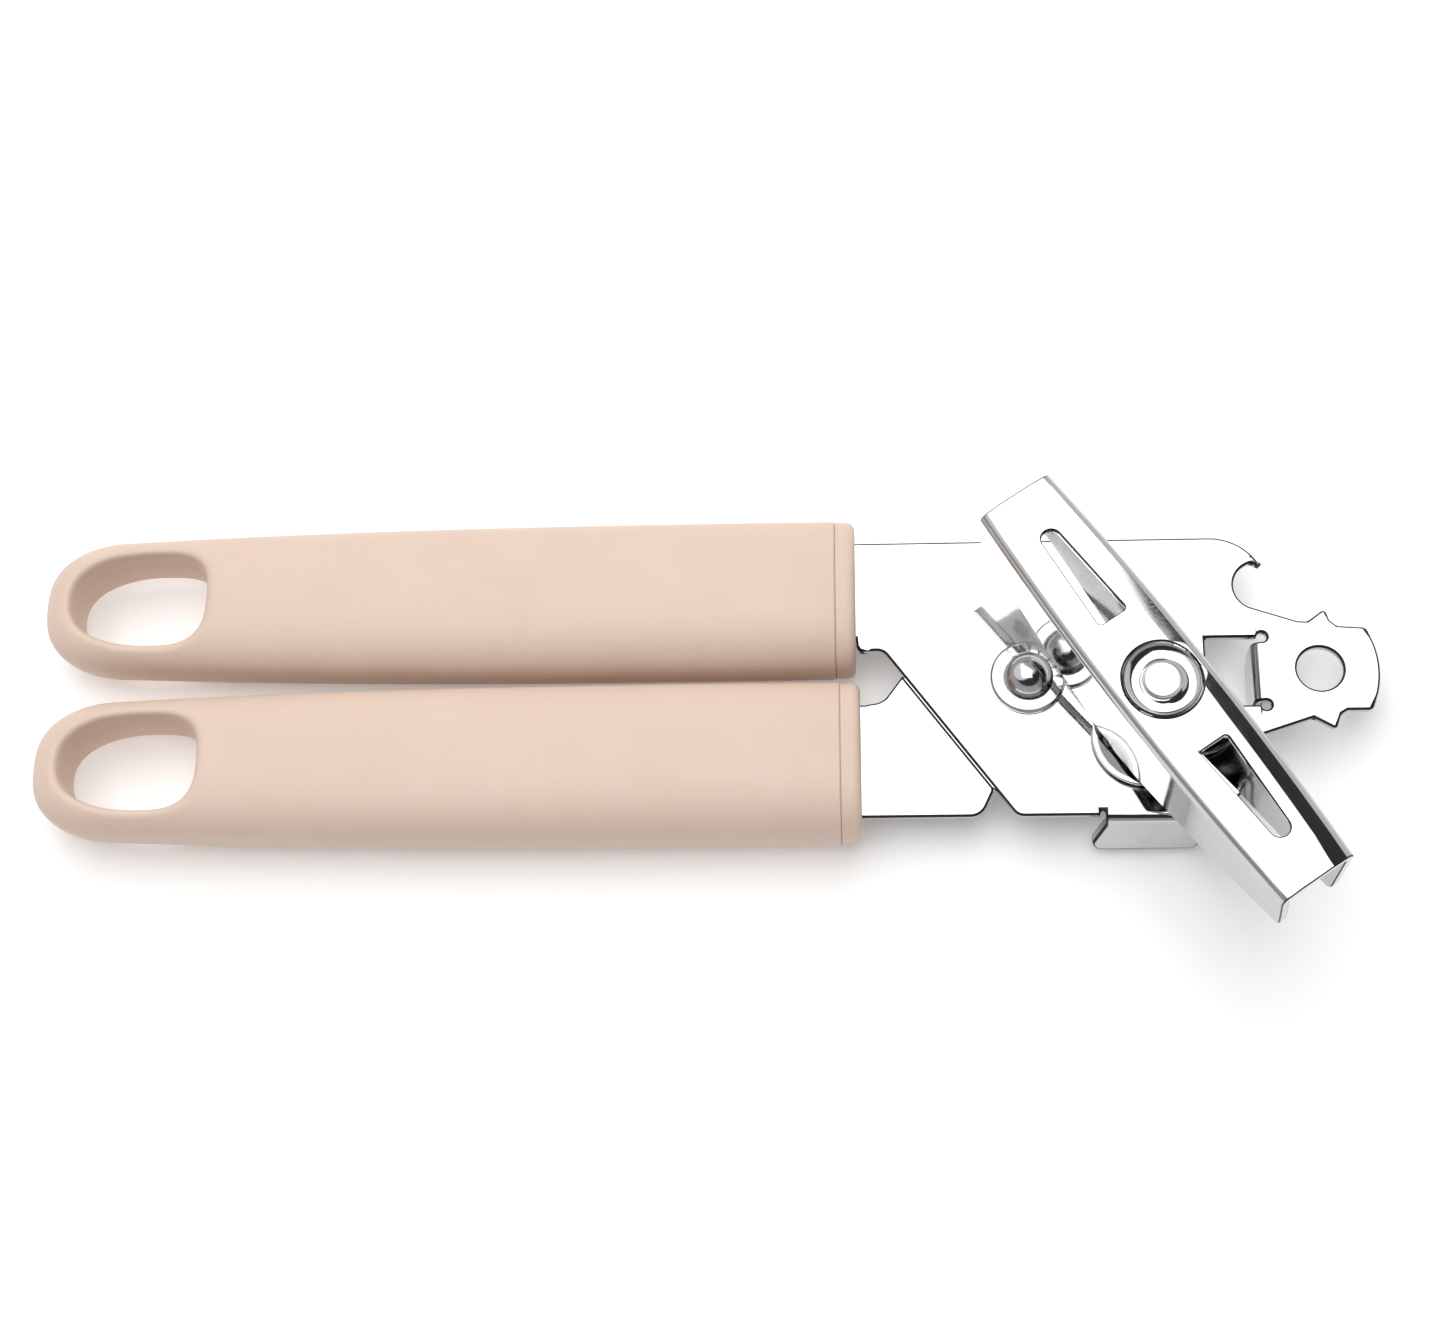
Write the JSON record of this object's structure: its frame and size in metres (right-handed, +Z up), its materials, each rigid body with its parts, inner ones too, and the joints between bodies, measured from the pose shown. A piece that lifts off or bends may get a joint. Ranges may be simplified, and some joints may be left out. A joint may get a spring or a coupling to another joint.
{
  "type": "manual can opener",
  "caption": "Hand-held can opener: two crossed levers in moulded grips, a butterfly crank that turns a toothed feed wheel, and a cutting wheel.",
  "frame": {"origin": "centre of the opener's footprint, on the surface that it lies on", "axes": "+X from the grips towards the head, +Y from the lower lever towards the upper lever, +Z up, towards the crank's side"},
  "size_m": [0.2004, 0.0668, 0.0335],
  "materials": {
    "chrome": "bright chrome plate on pressed steel",
    "rivet_steel": "polished plated steel",
    "zinc_steel": "turned steel, zinc plated",
    "tool_steel": "ground hardened steel",
    "bronze": "sintered bronze",
    "grip_plastic": "satin moulded plastic with a fine grain"
  },
  "bodies": {
    "upper_lever": {"front_plate": "chrome", "upper_grip": "grip_plastic", "upper_collar": "grip_plastic", "pivot_rivet": "rivet_steel", "pivot_front_washer": "chrome", "pivot_shim": "bronze", "pivot_back_washer": "rivet_steel", "shaft_bushing": "bronze"},
    "lower_lever": {"back_plate": "chrome", "lower_grip": "grip_plastic", "lower_collar": "grip_plastic", "cutter_stud": "zinc_steel", "cutter_washer": "zinc_steel"},
    "crank": {"crank_key": "chrome", "drive_shaft": "zinc_steel", "crank_washer": "chrome", "feed_wheel": "tool_steel", "feed_washer": "zinc_steel"},
    "cutter": {"cutter_wheel": "tool_steel", "cutter_bushing": "bronze"}
  },
  "joints": [
    {"name": "lever_pivot", "type": "hinge", "parent": "upper_lever", "child": "lower_lever", "pos_m": [0.0486, 0.0075, 0.0075], "axis": [0, 0, 1], "range_deg": [0, 35]},
    {"name": "crank_spin", "type": "hinge", "parent": "upper_lever", "child": "crank", "pos_m": [0.0652, -0.002, 0.0075], "axis": [0, 0, 1], "continuous": true},
    {"name": "cutter_spin", "type": "hinge", "parent": "lower_lever", "child": "cutter", "pos_m": [0.0652, 0.014, 0.0075], "axis": [0, 0, 1], "continuous": true}
  ]
}
